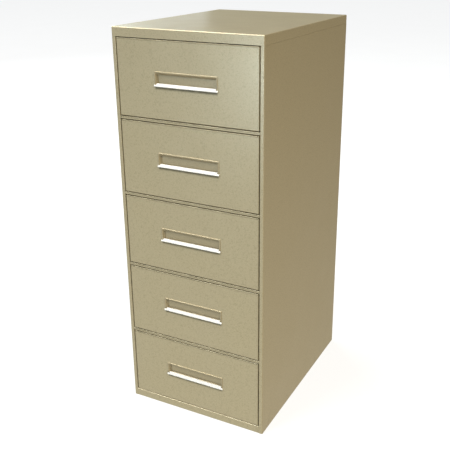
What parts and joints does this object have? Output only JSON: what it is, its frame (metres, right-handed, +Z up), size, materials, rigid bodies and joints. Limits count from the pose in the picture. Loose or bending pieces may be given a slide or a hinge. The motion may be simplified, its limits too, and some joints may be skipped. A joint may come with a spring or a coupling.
{
  "type": "metal filing cabinet",
  "caption": "Tall free-standing steel cabinet with equal drawers on telescopic slides, wide recessed cup pulls with a bright grip lip, and a wrap-over top.",
  "frame": {"origin": "on the floor, under the middle of the overall box", "axes": "+Z up, -Y towards a person at the drawers, +X to that person's right"},
  "size_m": [0.47, 0.62, 1.2],
  "materials": {
    "case_paint": "satin metallic champagne",
    "drawer_paint": "satin metallic champagne",
    "follower_paint": "satin metallic champagne",
    "lip_metal": "bright satin",
    "slide_zinc": "bright zinc plate",
    "zinc_hardware": "zinc plate",
    "black_rubber": "matt"
  },
  "bodies": {
    "cabinet": {"back_panel": "case_paint", "base_pan": "case_paint", "base_rail": "case_paint", "cabinet_slides_1": "slide_zinc", "cabinet_slides_2": "slide_zinc", "cabinet_slides_3": "slide_zinc", "cabinet_slides_4": "slide_zinc", "cabinet_slides_5": "slide_zinc", "divider_rail_1": "case_paint", "divider_rail_2": "case_paint", "divider_rail_3": "case_paint", "divider_rail_4": "case_paint", "foot_nuts": "zinc_hardware", "foot_pads": "black_rubber", "foot_studs": "zinc_hardware", "left_front_post": "case_paint", "left_rear_post": "case_paint", "left_side_panel": "case_paint", "right_front_post": "case_paint", "right_rear_post": "case_paint", "right_side_panel": "case_paint", "slide_buffers": "black_rubber", "slide_screws": "zinc_hardware", "top_cap": "case_paint"},
    "drawer_1": {"drawer_front_1": "drawer_paint", "drawer_tray_1": "drawer_paint", "handle_cup_1": "drawer_paint", "handle_lip_1": "lip_metal", "drawer_slides_1": "slide_zinc"},
    "drawer_2": {"drawer_front_2": "drawer_paint", "drawer_tray_2": "drawer_paint", "handle_cup_2": "drawer_paint", "handle_lip_2": "lip_metal", "drawer_slides_2": "slide_zinc"},
    "drawer_3": {"drawer_front_3": "drawer_paint", "drawer_tray_3": "drawer_paint", "handle_cup_3": "drawer_paint", "handle_lip_3": "lip_metal", "drawer_slides_3": "slide_zinc"},
    "drawer_4": {"drawer_front_4": "drawer_paint", "drawer_tray_4": "drawer_paint", "handle_cup_4": "drawer_paint", "handle_lip_4": "lip_metal", "drawer_slides_4": "slide_zinc"},
    "drawer_5": {"drawer_front_5": "drawer_paint", "drawer_tray_5": "drawer_paint", "handle_cup_5": "drawer_paint", "handle_lip_5": "lip_metal", "drawer_slides_5": "slide_zinc"},
    "slide_1": {"middle_slides_1": "slide_zinc"},
    "slide_2": {"middle_slides_2": "slide_zinc"},
    "slide_3": {"middle_slides_3": "slide_zinc"},
    "slide_4": {"middle_slides_4": "slide_zinc"},
    "slide_5": {"middle_slides_5": "slide_zinc"},
    "follower_1": {"file_follower_1": "follower_paint"},
    "follower_2": {"file_follower_2": "follower_paint"},
    "follower_3": {"file_follower_3": "follower_paint"},
    "follower_4": {"file_follower_4": "follower_paint"},
    "follower_5": {"file_follower_5": "follower_paint"}
  },
  "joints": [
    {"name": "drawer_1_slide", "type": "slide", "parent": "cabinet", "child": "drawer_1", "axis": [0, -1, 0], "range_m": [0, 0.48]},
    {"name": "drawer_2_slide", "type": "slide", "parent": "cabinet", "child": "drawer_2", "axis": [0, -1, 0], "range_m": [0, 0.48]},
    {"name": "drawer_3_slide", "type": "slide", "parent": "cabinet", "child": "drawer_3", "axis": [0, -1, 0], "range_m": [0, 0.48]},
    {"name": "drawer_4_slide", "type": "slide", "parent": "cabinet", "child": "drawer_4", "axis": [0, -1, 0], "range_m": [0, 0.48]},
    {"name": "drawer_5_slide", "type": "slide", "parent": "cabinet", "child": "drawer_5", "axis": [0, -1, 0], "range_m": [0, 0.48]},
    {"name": "slide_1_travel", "type": "slide", "parent": "cabinet", "child": "slide_1", "axis": [0, -1, 0], "range_m": [0, 0.24]},
    {"name": "slide_2_travel", "type": "slide", "parent": "cabinet", "child": "slide_2", "axis": [0, -1, 0], "range_m": [0, 0.24]},
    {"name": "slide_3_travel", "type": "slide", "parent": "cabinet", "child": "slide_3", "axis": [0, -1, 0], "range_m": [0, 0.24]},
    {"name": "slide_4_travel", "type": "slide", "parent": "cabinet", "child": "slide_4", "axis": [0, -1, 0], "range_m": [0, 0.24]},
    {"name": "slide_5_travel", "type": "slide", "parent": "cabinet", "child": "slide_5", "axis": [0, -1, 0], "range_m": [0, 0.24]},
    {"name": "follower_1_travel", "type": "slide", "parent": "drawer_1", "child": "follower_1", "axis": [0, -1, 0], "range_m": [0, 0.42]},
    {"name": "follower_2_travel", "type": "slide", "parent": "drawer_2", "child": "follower_2", "axis": [0, -1, 0], "range_m": [0, 0.42]},
    {"name": "follower_3_travel", "type": "slide", "parent": "drawer_3", "child": "follower_3", "axis": [0, -1, 0], "range_m": [0, 0.42]},
    {"name": "follower_4_travel", "type": "slide", "parent": "drawer_4", "child": "follower_4", "axis": [0, -1, 0], "range_m": [0, 0.42]},
    {"name": "follower_5_travel", "type": "slide", "parent": "drawer_5", "child": "follower_5", "axis": [0, -1, 0], "range_m": [0, 0.42]}
  ],
  "couplings": [
    {"joint": "slide_1_travel", "follows": "drawer_1_slide", "ratio": 0.5},
    {"joint": "slide_2_travel", "follows": "drawer_2_slide", "ratio": 0.5},
    {"joint": "slide_3_travel", "follows": "drawer_3_slide", "ratio": 0.5},
    {"joint": "slide_4_travel", "follows": "drawer_4_slide", "ratio": 0.5},
    {"joint": "slide_5_travel", "follows": "drawer_5_slide", "ratio": 0.5}
  ]
}
